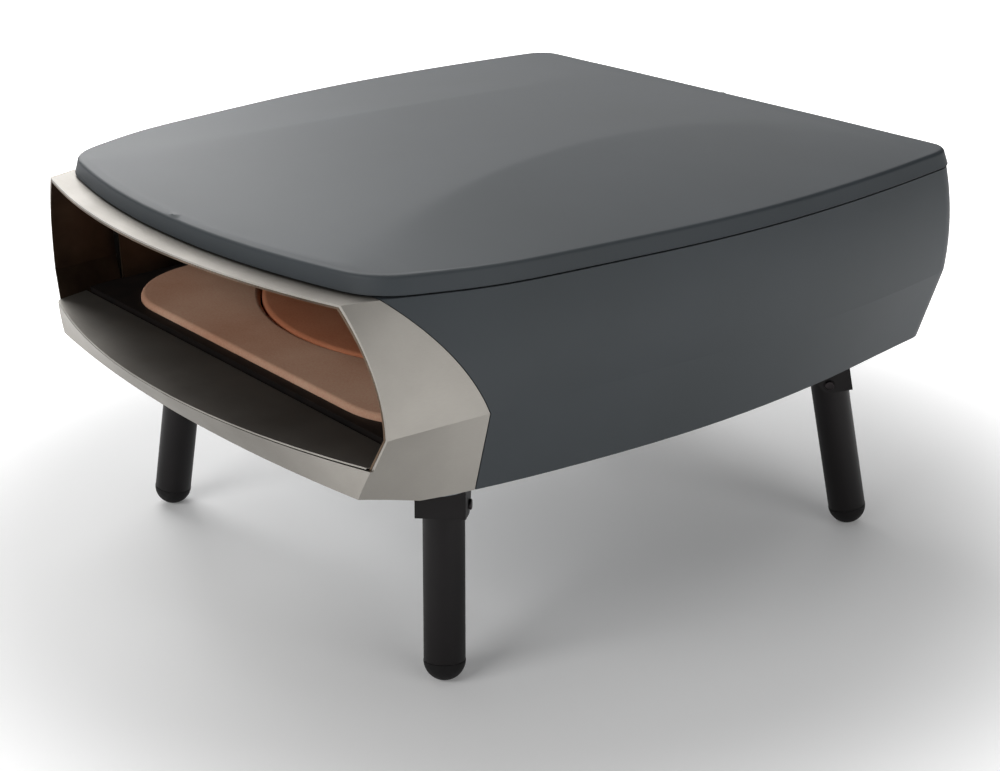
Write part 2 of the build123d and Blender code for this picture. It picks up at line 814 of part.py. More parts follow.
with BuildPart() as battery_door:
    plate_half = battery_half - door_gap
    plate_along = (battery_along[0] + door_gap, door_hinge_back)
    block((-plate_half, plate_half), plate_along, (housing_low, housing_low + housing_wall))
    rod_across(door_barrel, door_hinge_back, door_hinge_z, -plate_half, plate_half)
    pin_half = battery_half + door_pin_reach
    rod_across(door_pin, door_hinge_back, door_hinge_z, -pin_half, pin_half)
save(battery_door, "battery_door")

# Battery cells: three, side by side over the door
cell_radius = 7.25
cell_length = 50.5
cell_pitch = 15.5
cell_contact = 1

with BuildPart() as battery_cells:
    cell_z = housing_low + housing_wall + seat_gap + cell_radius
    cell_front = (sum(battery_along) - cell_length) / 2
    for column in (-1, 0, 1):
        rod_back(cell_radius, column * cell_pitch, cell_z, cell_front, cell_front + cell_length)
        contact_rear = cell_front + cell_contact
        rod_back(cell_radius / 3, column * cell_pitch, cell_z, cell_front - cell_contact, contact_rear)
save(battery_cells, "battery_cells")

# Drive motor: a gearbox that holds the foot of the shaft, and its can
gearbox_radius = 19
gearbox_low = 128
motor_radius = 14
motor_low = 110

with BuildPart() as drive_motor:
    post(gearbox_radius, (0, disc_back), gearbox_low, box_top)
    post(motor_radius, (0, disc_back), motor_low, gearbox_low)
    post(shaft_radius + running_gap, (0, disc_back), shaft_low_z - seat_gap, box_top + overrun, Mode.SUBTRACT)
save(drive_motor, "drive_motor")

# Base pan: closes the underside, rests on the shell's bottom flange and carries everything below
pan_flange_inset = 4
vent_length = 52
vent_width = 6
vent_pitch = 18
vent_count = 8
vent_x = 150
vent_middle = 285
shaft_hole = 6
pan_flange_z = bottom_z + skin + seat_gap


def pan_outline(height, inset):
    """Outline of the recessed tray: wider at the rear, with rounded corners."""
    front_right = (pan_front_half - inset, back(pan_front_back + inset))
    rear_right = (pan_rear_half - inset, back(pan_rear_back - inset))
    with BuildSketch(Plane.XY.offset(height)) as outline:
        with BuildLine() as border:
            Polyline(front_right, rear_right)
            mirror(about=Plane.YZ)
            front_left = (-front_right[0], front_right[1])
            rear_left = (-rear_right[0], rear_right[1])
            Line(front_right, front_left)
            Line(rear_right, rear_left)
        make_face(border.edges())
        fillet(outline.vertices(), pan_corner - inset)
    return outline.sketch


with BuildPart() as base_pan:
    extrude(plan_outline(pan_flange_z, bottom_level, pan_flange_inset), amount=skin)
    keep_block(clear_half_width, (pan_flange_front, far_rear), (pan_flange_z, pan_flange_z + skin))
    extrude(pan_outline(pan_low_z, 0), amount=pan_flange_z + skin - pan_low_z)
    pan_hollow = pan_outline(pan_low_z + skin, skin)
    extrude(pan_hollow, amount=pan_flange_z + overrun - pan_low_z, mode=Mode.SUBTRACT)
    for side in (-1, 1):
        with Locations((side * vent_x, back(vent_middle), pan_low_z)):
            with GridLocations(0, vent_pitch, 1, vent_count):
                Box(vent_length, vent_width, 2 * overrun, mode=Mode.SUBTRACT)
        feed_place = (side * burner_x, burner_back)
        post(feed_hole, feed_place, pan_low_z - overrun, pan_low_z + overrun, Mode.SUBTRACT)
    post(shaft_hole, (0, disc_back), pan_low_z - overrun, pan_low_z + overrun, Mode.SUBTRACT)
    punch(rivet_places, screw_hole_radius, pan_low_z - overrun, pan_low_z + skin + overrun)
    punch(flange_screw_places, screw_hole_radius, pan_flange_z - overrun, pan_flange_z + skin + overrun)
save(base_pan, "base_pan")

# Fasteners of the pan: screws up through the shell's flange, and rivets down through the pan's floor
rivet_tail = 0.3

with BuildPart() as flange_screws:
    flange_screw_tip = pan_flange_z + skin + screw_tail
    add_screws(flange_screw_places, bottom_z - seat_gap - screw_head_height, flange_screw_tip)
save(flange_screws, "flange_screws")

with BuildPart() as pan_rivets:
    head_low = pan_low_z + skin + seat_gap
    for x, y in rivet_places:
        with Locations((x, y, head_low)):
            Cylinder(screw_head_radius, screw_head_height, align=(Align.CENTER, Align.CENTER, Align.MIN))
            Cylinder(
                screw_radius,
                head_low - box_top + plate_sheet - rivet_tail,
                align=(Align.CENTER, Align.CENTER, Align.MAX),
            )
save(pan_rivets, "pan_rivets")

# Spacers between the pan and the well's floor
spacer_radius = 5
spacer_offset = 60

with BuildPart() as tray_spacers:
    for x in (-spacer_offset, spacer_offset):
        for along in (-spacer_offset, spacer_offset):
            place = (x, disc_back + along)
            post(spacer_radius, place, pan_low_z + skin + seat_gap, well_floor_z - skin - seat_gap)
save(tray_spacers, "tray_spacers")

# Main burner: a tube with ports round three sides of the chamber, fed from the valve below
main_radius = 7
main_wall = 1
main_x = 219
main_z = 207
main_front = 300
main_rear = chamber_rear - liner_sheet - seat_gap - main_radius
main_bend = 20
port_radius = 1.2
port_pitch = 16
side_ports = 9
rear_ports = 21
valve_top = 139
feed_low = valve_top + seat_gap

with BuildPart() as u_burner:
    with BuildLine(Plane.XY.offset(main_z)) as main_path:
        FilletPolyline(
            (main_x, back(main_front)),
            (main_x, back(main_rear)),
            (-main_x, back(main_rear)),
            (-main_x, back(main_front)),
            radius=main_bend,
        )
    with BuildSketch(Plane(origin=main_path.line @ 0, z_dir=main_path.line % 0)):
        Circle(main_radius)
    sweep(path=main_path.line)
    post(feed_radius, (-burner_x, burner_back), feed_low, main_z)
    with Locations((-burner_x, back(burner_back), main_z)):
        Sphere(feed_radius)
    rod_back(feed_radius, -burner_x, main_z, burner_back, main_rear)
    with BuildSketch(Plane(origin=main_path.line @ 0, z_dir=main_path.line % 0)):
        Circle(main_radius - main_wall)
    sweep(path=main_path.line, mode=Mode.SUBTRACT)
    for side in (-1, 1):
        with Locations((side * main_x, back(main_front), main_z)):
            Cylinder(main_radius, main_wall, rotation=(90, 0, 0))
        port_middle = (main_front + main_rear) / 2
        with Locations((side * (main_x - main_radius), back(port_middle), main_z)):
            with GridLocations(0, port_pitch, 1, side_ports):
                Cylinder(port_radius, 2 * (main_radius - main_wall), rotation=(0, 90, 0), mode=Mode.SUBTRACT)
    with Locations((0, back(main_rear - main_radius), main_z)):
        with GridLocations(port_pitch, 0, rear_ports, 1):
            Cylinder(port_radius, 2 * (main_radius - main_wall), rotation=(90, 0, 0), mode=Mode.SUBTRACT)
save(u_burner, "u_burner")

# Booster burner: a ring under the disc, in the well
booster_radius = 6
booster_end = 400

with BuildPart() as booster_burner:
    with BuildLine(Plane.XY.offset(booster_z)) as booster_path:
        CenterArc((0, back(disc_back)), burner_x, 180, 180)
    with BuildSketch(Plane(origin=booster_path.line @ 0, z_dir=booster_path.line % 0)):
        Circle(booster_radius)
    sweep(path=booster_path.line)
    rod_back(booster_radius, -burner_x, booster_z, disc_back, booster_end)
    rod_back(booster_radius, burner_x, booster_z, disc_back, burner_back)
    with Locations((burner_x, back(burner_back), booster_z)):
        Sphere(booster_radius)
    post(booster_radius, (burner_x, burner_back), feed_low, booster_z)
save(booster_burner, "booster_burner")

# Saddles that hold the burners on the floor tray and in the well, and the guard over the rear burner
saddle_half = 6
saddle_length = 10
saddle_backs = (330, 450)
booster_saddle_back = 330
guard_half_width = 190
guard_front = 495
guard_gap = 2.3
guard_lip = 3

with BuildPart() as burner_saddles:
    for side in (-1, 1):
        for distance in saddle_backs:
            along = (distance - saddle_length / 2, distance + saddle_length / 2)
            across = (side * main_x - saddle_half, side * main_x + saddle_half)
            block(across, along, (floor_z + seat_gap, main_z - main_radius / 2))
        rod_back(main_radius + seat_gap, side * main_x, main_z, main_front, main_rear, Mode.SUBTRACT)
        along = (booster_saddle_back - saddle_length / 2, booster_saddle_back + saddle_length / 2)
        across = (side * burner_x - saddle_half, side * burner_x + saddle_half)
        block(across, along, (well_floor_z + seat_gap, booster_z - booster_radius / 2))
        rod_back(booster_radius + seat_gap, side * burner_x, booster_z, disc_back, booster_end, Mode.SUBTRACT)
save(burner_saddles, "burner_saddles")

with BuildPart() as flame_guard:
    guard_low = main_z + main_radius + guard_gap
    guard_rear = chamber_rear - liner_sheet - seat_gap
    guard_across = (-guard_half_width, guard_half_width)
    block(guard_across, (guard_front, guard_rear), (guard_low, guard_low + liner_sheet))
    lip_along = (guard_front, guard_front + liner_sheet)
    block(guard_across, lip_along, (guard_low - guard_lip, guard_low))
save(flame_guard, "flame_guard")

# Igniter and thermocouple: ceramic and steel probes through the floor tray beside the rear burner
probe_flange_radius = 6
probe_flange = 2
probe_root = 10
igniter_top = 201
igniter_tip = 204
tip_radius = 1
tip_rear = 494
sensor_radius = 1.5
sensor_top = 214

with BuildPart() as igniter_electrode:
    flange_low = floor_z + seat_gap
    post(probe_flange_radius, igniter_place, flange_low, flange_low + probe_flange)
    post(probe_radius, igniter_place, floor_z - probe_root, igniter_top)
    post(tip_radius, igniter_place, igniter_top, igniter_tip + tip_radius)
    rod_back(tip_radius, igniter_place[0], igniter_tip, igniter_place[1], tip_rear)
save(igniter_electrode, "igniter_electrode")

with BuildPart() as thermocouple:
    flange_low = floor_z + seat_gap
    post(probe_flange_radius, probe_place, flange_low, flange_low + probe_flange)
    post(probe_radius, probe_place, floor_z - probe_root, flange_low + 2 * probe_flange)
    post(sensor_radius, probe_place, floor_z, sensor_top)
save(thermocouple, "thermocouple")

# Gas box: holds the valves, the manifold and the switch
with BuildPart() as gas_box:
    block((-gas_half, gas_half), gas_along, (gas_low, box_top))
    flange_half = gas_half + box_flange
    block((-flange_half, flange_half), (gas_along[0], pan_rear_back), (box_top - gas_wall, box_top))
    inner_half = gas_half - gas_wall
    inner_along = (gas_along[0] + gas_wall, gas_along[1] - gas_wall)
    block((-inner_half, inner_half), inner_along, (gas_low + gas_wall, box_top - gas_wall), Mode.SUBTRACT)
    open_along = (inner_along[0], gas_cap_front)
    block((-inner_half, inner_half), open_along, (box_top - 2 * gas_wall, box_top + overrun), Mode.SUBTRACT)
    wall_along = (inner_along[1] - overrun, gas_along[1] + overrun)
    for side in (-1, 1):
        rod_back(stem_hole, side * knob_x, valve_z, *wall_along, Mode.SUBTRACT)
    block(
        (-switch_half_width - seat_gap, switch_half_width + seat_gap),
        wall_along,
        (valve_z - switch_half_height - seat_gap, valve_z + switch_half_height + seat_gap),
        Mode.SUBTRACT,
    )
    inlet_hole = inlet_spigot + seat_gap
    rod_across(inlet_hole, inlet_back, inlet_z, -gas_half - overrun, -inner_half + overrun, Mode.SUBTRACT)
    punch(rivet_places, screw_hole_radius, box_top - gas_wall - overrun, box_top + overrun)
save(gas_box, "gas_box")

# Manifold along the box, and its inlet fitting: a hexagon with a tapered spigot for the supply
manifold_radius = 4.5
manifold_bore = 2.5
manifold_end = 109
hex_radius = 9
hex_length = 4
nipple_radius = 7
nipple_end = 5.5
nipple_length = 14

with BuildPart() as gas_manifold:
    manifold_left = -gas_half + gas_wall + overrun
    rod_across(manifold_radius, inlet_back, inlet_z, manifold_left, manifold_end)
    bore_end = manifold_end - manifold_radius
    rod_across(manifold_bore, inlet_back, inlet_z, manifold_left, bore_end, Mode.SUBTRACT)
save(gas_manifold, "gas_manifold")

inlet_place = (-gas_half - seat_gap, back(inlet_back), inlet_z)
inlet_face = Plane(origin=inlet_place, x_dir=(0, 1, 0), z_dir=(-1, 0, 0))

with BuildPart() as gas_inlet:
    with BuildSketch(inlet_face):
        RegularPolygon(hex_radius, 6)
    extrude(amount=hex_length)
    with BuildSketch(inlet_face.offset(hex_length)):
        Circle(nipple_radius)
    with BuildSketch(inlet_face.offset(hex_length + nipple_length)):
        Circle(nipple_end)
    loft()
    with BuildSketch(inlet_face):
        Circle(inlet_spigot)
    extrude(amount=-gas_wall - overrun)
    bore_left = -gas_half - 2 * nipple_length
    rod_across(manifold_bore, inlet_back, inlet_z, bore_left, manifold_left, Mode.SUBTRACT)
save(gas_inlet, "gas_inlet")

# Valves, spring cups, stems and knobs: push in against the spring, then turn
valve_half_width = 14
valve_front = 470
valve_rear = 512
valve_low = 113
nose_radius = 11
cup_radius = 8
cup_length = 6
cup_rear = 518
push_travel = 4
knob_radius = 19
knob_front_radius = 17
knob_length = 20
stem_front = 508
stem_grip = 14
flute_count = 12
flute_radius = 2.5
pointer_width = 2
pointer_depth = 0.8

for name, side in (("main", -1), ("booster", 1)):
    x = side * knob_x
    knob_face = knob_reach - knob_length
    with BuildPart() as valve:
        block((x - valve_half_width, x + valve_half_width), (valve_front, valve_rear), (valve_low, valve_top))
        rod_back(nose_radius, x, valve_z, valve_rear, gas_along[1] - gas_wall - seat_gap)
        bore_front = cup_rear - cup_length - push_travel - seat_gap
        rod_back(cup_radius + running_gap, x, valve_z, bore_front, gas_along[1], Mode.SUBTRACT)
        stem_bore = stem_radius + seat_gap
        rod_back(stem_bore, x, valve_z, stem_front - push_travel - seat_gap, gas_along[1], Mode.SUBTRACT)
    save(valve, f"{name}_valve")

    with BuildPart() as spring_cup:
        rod_back(cup_radius, x, valve_z, cup_rear - cup_length, cup_rear)
        rod_back(stem_radius + running_gap, x, valve_z, valve_front, knob_reach, Mode.SUBTRACT)
    save(spring_cup, f"{name}_spring_cup")

    with BuildPart() as stem:
        rod_back(stem_radius, x, valve_z, stem_front, knob_face + stem_grip)
    save(stem, f"{name}_stem")

    with BuildPart() as knob:
        with BuildSketch(Plane.XZ.offset(-back(knob_face))):
            with Locations((x, valve_z)):
                Circle(knob_radius)
        with BuildSketch(Plane.XZ.offset(-back(knob_reach))):
            with Locations((x, valve_z)):
                Circle(knob_front_radius)
        loft()
        with Locations(Location((x, back((knob_face + knob_reach) / 2), valve_z), (90, 0, 0))):
            with PolarLocations(knob_radius, flute_count):
                Cylinder(flute_radius, 2 * knob_length, mode=Mode.SUBTRACT)
        block(
            (x - pointer_width / 2, x + pointer_width / 2),
            (knob_reach - pointer_depth, knob_reach + overrun),
            (valve_z, valve_z + knob_radius),
            Mode.SUBTRACT,
        )
        bore_end = knob_face + stem_grip + seat_gap
        rod_back(stem_radius + running_gap, x, valve_z, knob_face - overrun, bore_end, Mode.SUBTRACT)
    save(knob, f"{name}_knob")

# Rocker switch of the drive: a frame in the box's rear wall and a key that tips on two small trunnions
switch_front = 508
key_pin_radius = 1.1
key_half_width = 7.8
key_half_height = 5.2
key_clearance = 0.7
key_inner = 2
key_outer = 4.6
key_middle = 3
key_back = 520.5
key_tilt = 8

with BuildPart() as switch_frame:
    face_back = gas_along[1] + seat_gap
    flange_along = (face_back, face_back + switch_flange)
    for growth, along in ((0, (switch_front, face_back)), (switch_flange, flange_along)):
        block(
            (-switch_half_width - growth, switch_half_width + growth),
            along,
            (valve_z - switch_half_height - growth, valve_z + switch_half_height + growth),
        )
    block(
        (-key_half_width - seat_gap, key_half_width + seat_gap),
        (switch_front + switch_flange, key_back + 2 * overrun),
        (valve_z - key_half_height - key_clearance, valve_z + key_half_height + key_clearance),
        Mode.SUBTRACT,
    )
    key_hole = key_pin_radius + running_gap
    rod_across(key_hole, key_back, valve_z, -switch_half_width, switch_half_width, Mode.SUBTRACT)
save(switch_frame, "switch_frame")

key_lean = math.radians(key_tilt)
key_side = Plane(
    origin=(0, back(key_back), valve_z),
    x_dir=(0, math.cos(key_lean), math.sin(key_lean)),
    z_dir=(1, 0, 0),
)

with BuildPart() as switch_key:
    with BuildSketch(key_side):
        Polygon(
            (-key_inner, -key_half_height),
            (key_outer, -key_half_height),
            (key_middle, 0),
            (key_outer, key_half_height),
            (-key_inner, key_half_height),
            align=None,
        )
    extrude(amount=key_half_width, both=True)
    key_pin_reach = switch_half_width - seat_gap
    rod_across(key_pin_radius, key_back, valve_z, -key_pin_reach, key_pin_reach)
save(switch_key, "switch_key")
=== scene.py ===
import bpy
import math
from mathutils import Matrix, Vector
from mathutils.geometry import convex_hull_2d


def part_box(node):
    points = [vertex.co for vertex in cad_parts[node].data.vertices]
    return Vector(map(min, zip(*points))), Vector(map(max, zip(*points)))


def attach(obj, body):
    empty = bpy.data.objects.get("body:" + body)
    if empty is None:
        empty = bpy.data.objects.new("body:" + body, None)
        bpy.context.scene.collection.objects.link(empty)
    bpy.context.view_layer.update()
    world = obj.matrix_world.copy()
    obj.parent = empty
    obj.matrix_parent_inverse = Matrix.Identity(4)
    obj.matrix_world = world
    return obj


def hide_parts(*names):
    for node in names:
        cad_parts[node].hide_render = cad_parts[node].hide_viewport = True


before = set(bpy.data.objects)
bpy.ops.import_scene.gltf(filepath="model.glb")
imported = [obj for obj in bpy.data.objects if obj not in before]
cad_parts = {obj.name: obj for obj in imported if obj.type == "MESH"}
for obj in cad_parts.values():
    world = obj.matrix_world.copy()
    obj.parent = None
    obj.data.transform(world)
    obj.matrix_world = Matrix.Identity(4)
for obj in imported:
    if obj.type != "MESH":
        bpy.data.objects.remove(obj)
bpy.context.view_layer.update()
bpy.context.scene.view_settings.view_transform = "Standard"


# Camera: the photograph's viewpoint, to the right of the mouth and above the cover. The frame's Y starts at
# the middle of the oven, and distances back are measured from the mouth's widest corners, at mouth_y.
mouth_y = -0.25475
camera_x = 1.1549
camera_back = -0.6268
camera_height = 0.6998
camera_right = Vector((0.62309, 0.78191, -0.01945))
camera_up = Vector((-0.28015, 0.24632, 0.92782))
camera_towards = Vector((0.73026, -0.57266, 0.37253))
focal_pixels = 1905.8
frame_pixels = 1000
sensor_mm = 36

camera_data = bpy.data.cameras.new("camera")
camera_data.sensor_width = sensor_mm
camera_data.lens = focal_pixels / frame_pixels * sensor_mm
camera = bpy.data.objects.new("camera", camera_data)
bpy.context.scene.collection.objects.link(camera)
camera_matrix = Matrix((camera_right, camera_up, camera_towards)).transposed().to_4x4()
camera_matrix.translation = Vector((camera_x, mouth_y + camera_back, camera_height))
camera.matrix_world = camera_matrix
bpy.context.scene.camera = camera


# Studio floor: a white painted sweep, dull and even. What the camera and the steel see of it is lifted, a
# little near the oven and more away from it, so that it is white all round and keeps the soft shadow.
floor_size = 14
floor_white = "#f4f4f4"
floor_roughness = 0.9
glow_colour = (1, 1, 1, 1)
near_reach = 0.36
far_reach = 0.72
near_lift = 0.1
far_lift = 0.96


def linear(colour):
    """Linear colour of an sRGB hex value, by the formula of the sRGB standard."""
    parts = []
    for start in (1, 3, 5):
        part = int(colour[start:start + 2], 16) / 255
        parts.append(part / 12.92 if part <= 0.04045 else ((part + 0.055) / 1.055) ** 2.4)
    return (*parts, 1)


def add_node(tree, kind, links=None, **settings):
    """Add a node, set its attributes, and fill its inputs with values or with other nodes' outputs."""
    node = tree.nodes.new(kind)
    for name, value in settings.items():
        setattr(node, name, value)
    for name, value in (links or {}).items():
        if isinstance(value, bpy.types.NodeSocket):
            tree.links.new(value, node.inputs[name])
        else:
            node.inputs[name].default_value = value
    return node


def new_material(name, **settings):
    """A material with its shader's plain values set. Names with spaces are written with underscores."""
    material = bpy.data.materials.new(name)
    material.use_nodes = True
    shader = material.node_tree.nodes["Principled BSDF"]
    for socket, value in settings.items():
        shader.inputs[socket.replace("_", " ")].default_value = value
    return material, material.node_tree, shader


def greatest(tree, sockets):
    """Greatest of several values."""
    result = sockets[0]
    for socket in sockets[1:]:
        greater = add_node(tree, "ShaderNodeMath", {0: result, 1: socket}, operation="MAXIMUM")
        result = greater.outputs["Value"]
    return result


bpy.ops.object.select_all(action="DESELECT")
bpy.ops.mesh.primitive_plane_add(size=floor_size, location=(0, 0, 0))
floor = bpy.context.object
floor.name = "floor"
sweep, tree, shader = new_material(
    "white studio floor",
    Roughness=floor_roughness,
    Base_Color=linear(floor_white),
)
place = add_node(tree, "ShaderNodeTexCoord")
reach = add_node(tree, "ShaderNodeVectorMath", {0: place.outputs["Object"]}, operation="LENGTH")
lift = add_node(
    tree,
    "ShaderNodeMapRange",
    {
        "Value": reach.outputs["Value"],
        "From Min": near_reach,
        "From Max": far_reach,
        "To Min": near_lift,
        "To Max": far_lift,
    },
    interpolation_type="SMOOTHSTEP",
)
glow = add_node(tree, "ShaderNodeEmission", {"Color": glow_colour, "Strength": lift.outputs["Result"]})
lifted = add_node(tree, "ShaderNodeAddShader", {0: shader.outputs["BSDF"], 1: glow.outputs["Emission"]})
path = add_node(tree, "ShaderNodeLightPath")
seen = greatest(tree, [path.outputs[f"Is {kind} Ray"] for kind in ("Camera", "Glossy", "Transmission")])
choice = add_node(
    tree,
    "ShaderNodeMixShader",
    {"Fac": seen, 1: shader.outputs["BSDF"], 2: lifted.outputs["Shader"]},
)
tree.links.new(choice.outputs["Shader"], tree.nodes["Material Output"].inputs["Surface"])
floor.data.materials.append(sweep)


# Studio light: seven soft boxes in a dim room with a white backdrop. Two hang above, and two stand at the
# left, which the cover mirrors. One stands at the right, a weak one beside the camera, and one in front of
# the mouth and above it, which lights the stones.
room_light = 0.05
backdrop_light = 1.0
lamps = (
    # name, place, aim, width, height, all in metres, and power in watts
    ("overhead", (-0.2, 0.2, 2.3), (0, 0, 0.1), 2.4, 2.4, 14),
    ("overhead left", (-1.5, 0.3, 1.9), (0, 0, 0.2), 1.4, 1.4, 11),
    ("left softbox", (-1.9, 1.5, 1.15), (0, 0, 0.3), 2.6, 0.8, 13),
    ("far left softbox", (-2.4, 0.2, 1.25), (0, 0, 0.2), 1.6, 0.8, 22),
    ("right softbox", (2.3, 0.1, 1.0), (0, 0, 0.2), 1.6, 1.2, 10),
    ("camera side", (1.6, -1.7, 0.9), (0, 0, 0.2), 1.0, 0.8, 0.5),
    ("mouth fill", (0.1, -2.1, 1.3), (0, -0.2, 0.2), 1.4, 0.9, 18),
)

world = bpy.data.worlds.new("studio")
bpy.context.scene.world = world
world.use_nodes = True
tree = world.node_tree
path = add_node(tree, "ShaderNodeLightPath")
strength = add_node(
    tree,
    "ShaderNodeMapRange",
    {"Value": path.outputs["Is Camera Ray"], "To Min": room_light, "To Max": backdrop_light},
)
tree.nodes["Background"].inputs["Color"].default_value = glow_colour
tree.links.new(strength.outputs["Result"], tree.nodes["Background"].inputs["Strength"])

for name, place, aim, width, height, power in lamps:
    lamp_data = bpy.data.lights.new(name, "AREA")
    lamp_data.shape = "RECTANGLE"
    lamp_data.size = width
    lamp_data.size_y = height
    lamp_data.energy = power
    lamp = bpy.data.objects.new(name, lamp_data)
    bpy.context.scene.collection.objects.link(lamp)
    lamp.location = place
    lamp.rotation_euler = (Vector(place) - Vector(aim)).to_track_quat("Z", "Y").to_euler()


# Legs: round steel tubes that hang in folded steel brackets, riveted under the pan. Both have a satin black
# powder coat, which gives them a soft narrow highlight and a fine orange-peel grain.
corners = ("front_left", "front_right", "rear_left", "rear_right")
coat_dark = "#0e0b0c"
coat_light = "#171314"
coat_patch_mm = 60
peel_mm = 0.9
peel_depth_mm = 0.03
mm_per_metre = 1000
patch_contrast = (0.3, 0.7)
grain_detail = 2.0
grain_roughness = 0.6
grain_strength = 0.5


def patches(tree, shader, dark, light, patch_mm, detail=3.0):
    """Colour the surface in soft patches of a real size, between two colours."""
    place = add_node(tree, "ShaderNodeTexCoord")
    patch = add_node(
        tree,
        "ShaderNodeTexNoise",
        {"Vector": place.outputs["Object"], "Scale": mm_per_metre / patch_mm, "Detail": detail},
    )
    share = add_node(
        tree,
        "ShaderNodeMapRange",
        {"Value": patch.outputs["Fac"], "From Min": patch_contrast[0], "From Max": patch_contrast[1]},
    )
    tint = add_node(
        tree,
        "ShaderNodeMixRGB",
        {"Fac": share.outputs["Result"], 1: linear(dark), 2: linear(light)},
    )
    tree.links.new(tint.outputs["Color"], shader.inputs["Base Color"])
    return tint


def raise_grain(tree, shader, grain_mm, depth_mm):
    """Raise a fine even grain of a real size and depth."""
    place = add_node(tree, "ShaderNodeTexCoord")
    grain = add_node(
        tree,
        "ShaderNodeTexNoise",
        {
            "Vector": place.outputs["Object"],
            "Scale": mm_per_metre / grain_mm,
            "Detail": grain_detail,
            "Roughness": grain_roughness,
        },
    )
    bump = add_node(
        tree,
        "ShaderNodeBump",
        {"Height": grain.outputs["Fac"], "Strength": grain_strength, "Distance": depth_mm / mm_per_metre},
    )
    tree.links.new(bump.outputs["Normal"], shader.inputs["Normal"])


def dress(material, *names):
    """Give CAD nodes a material."""
    for name in names:
        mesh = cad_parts[name].data
        if not mesh.materials:
            mesh.materials.append(material)
        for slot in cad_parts[name].material_slots:
            slot.material = material


black_coat, tree, shader = new_material("satin black powder coat", Roughness=0.48, Specular_IOR_Level=0.25)
patches(tree, shader, coat_dark, coat_light, coat_patch_mm)
raise_grain(tree, shader, peel_mm, peel_depth_mm)
dress(black_coat, *[f"{piece}_{corner}" for piece in ("leg", "bracket") for corner in corners])


# Foot caps: domes of moulded nitrile rubber, plugged into the tubes' lower ends. The rubber is matt, with a
# faint grey bloom.
rubber_dark = "#0b090a"
rubber_light = "#131011"
bloom_mm = 8

foot_rubber, tree, shader = new_material("moulded nitrile rubber", Roughness=0.7, Specular_IOR_Level=0.3)
patches(tree, shader, rubber_dark, rubber_light, bloom_mm)
raise_grain(tree, shader, peel_mm, peel_depth_mm)
dress(foot_rubber, *[f"foot_{corner}" for corner in corners])


# Hinge pins: turned steel pins through the brackets' ears, with a rounded head at each end. Their black
# oxide finish is a dark metal with a dull sheen.
oxide_dark = "#232122"
oxide_light = "#3b3738"
oxide_mm = 5

black_oxide, tree, shader = new_material("black oxide steel", Metallic=1.0, Roughness=0.42)
patches(tree, shader, oxide_dark, oxide_light, oxide_mm)
dress(black_oxide, *[f"pin_{corner}" for corner in corners])


# Base pan and burner saddles: folded galvanised sheet, dull grey with a faint spangle of about 8 mm. The pan
# is screwed to the shell's lower flange, and the saddles stand on the floor tray.
zinc_dark = "#7e8285"
zinc_light = "#989ca0"
spangle_mm = 8

zinc_sheet, tree, shader = new_material("galvanised sheet", Metallic=0.9, Roughness=0.45)
place = add_node(tree, "ShaderNodeTexCoord")
spangle = add_node(
    tree,
    "ShaderNodeTexVoronoi",
    {"Vector": place.outputs["Object"], "Scale": mm_per_metre / spangle_mm},
)
tone = add_node(tree, "ShaderNodeSeparateColor", {"Color": spangle.outputs["Color"]})
tint = add_node(
    tree,
    "ShaderNodeMixRGB",
    {"Fac": tone.outputs["Red"], 1: linear(zinc_dark), 2: linear(zinc_light)},
)
tree.links.new(tint.outputs["Color"], shader.inputs["Base Color"])
dress(zinc_sheet, "base_pan", "burner_saddles")


# Fasteners and turned parts: zinc-plated steel screws, rivets and spacers, the turntable's carrier and
# shaft, and the valves' stems and spring cups, with a faint mottle from the plating bath.
plating_dark = "#8b8d8f"
plating_light = "#b3b5b6"
plating_mm = 6

plated_steel, tree, shader = new_material("zinc-plated steel", Metallic=1.0, Roughness=0.35)
patches(tree, shader, plating_dark, plating_light, plating_mm, detail=5.0)
dress(
    plated_steel,
    "lid_screws",
    "flange_screws",
    "pan_rivets",
    "tray_spacers",
    "turntable_carrier",
    "turntable_shaft",
    "main_stem",
    "booster_stem",
    "main_spring_cup",
    "booster_spring_cup",
)


# Drive: a geared motor in a housing of textured black nylon, with a hinged battery door, and the knobs of
# the gas box in the same nylon. The mould's spark texture is a grain of about 0.7 mm.
nylon_dark = "#161718"
nylon_light = "#222324"
spark_mm = 0.7
spark_depth_mm = 0.05
case_dark = "#3b3e40"
case_light = "#4d5052"

textured_nylon, tree, shader = new_material("textured nylon", Roughness=0.55, IOR=1.53)
patches(tree, shader, nylon_dark, nylon_light, coat_patch_mm)
raise_grain(tree, shader, spark_mm, spark_depth_mm)
dress(textured_nylon, "drive_housing", "battery_door", "main_knob", "booster_knob")

motor_paint, tree, shader = new_material("painted motor case", Roughness=0.5, IOR=1.5)
patches(tree, shader, case_dark, case_light, plating_mm)
raise_grain(tree, shader, peel_mm, peel_depth_mm)
dress(motor_paint, "drive_motor")


# Switch and cells: a rocker of glossy moulded polycarbonate, clipped into the gas box's rear wall, and three
# battery cells in plain shrunk sleeves, which lie over the battery door.
switch_dark = "#101112"
switch_light = "#18191a"
sleeve_dark = "#22394a"
sleeve_light = "#2c4657"

polycarbonate, tree, shader = new_material("moulded polycarbonate", Roughness=0.25, IOR=1.58)
patches(tree, shader, switch_dark, switch_light, bloom_mm)
dress(polycarbonate, "switch_frame", "switch_key")

cell_sleeve, tree, shader = new_material("shrunk cell sleeve", Roughness=0.3, IOR=1.5)
patches(tree, shader, sleeve_dark, sleeve_light, bloom_mm)
dress(cell_sleeve, "battery_cells")


# Turntable bush: sintered bronze, brown-gold and porous. It stands by its flange in the floor of the tray's
# well, and the shaft runs in it.
bronze_dark = "#8a6239"
bronze_light = "#a87b4c"
pore_mm = 0.9
pore_depth_mm = 0.1

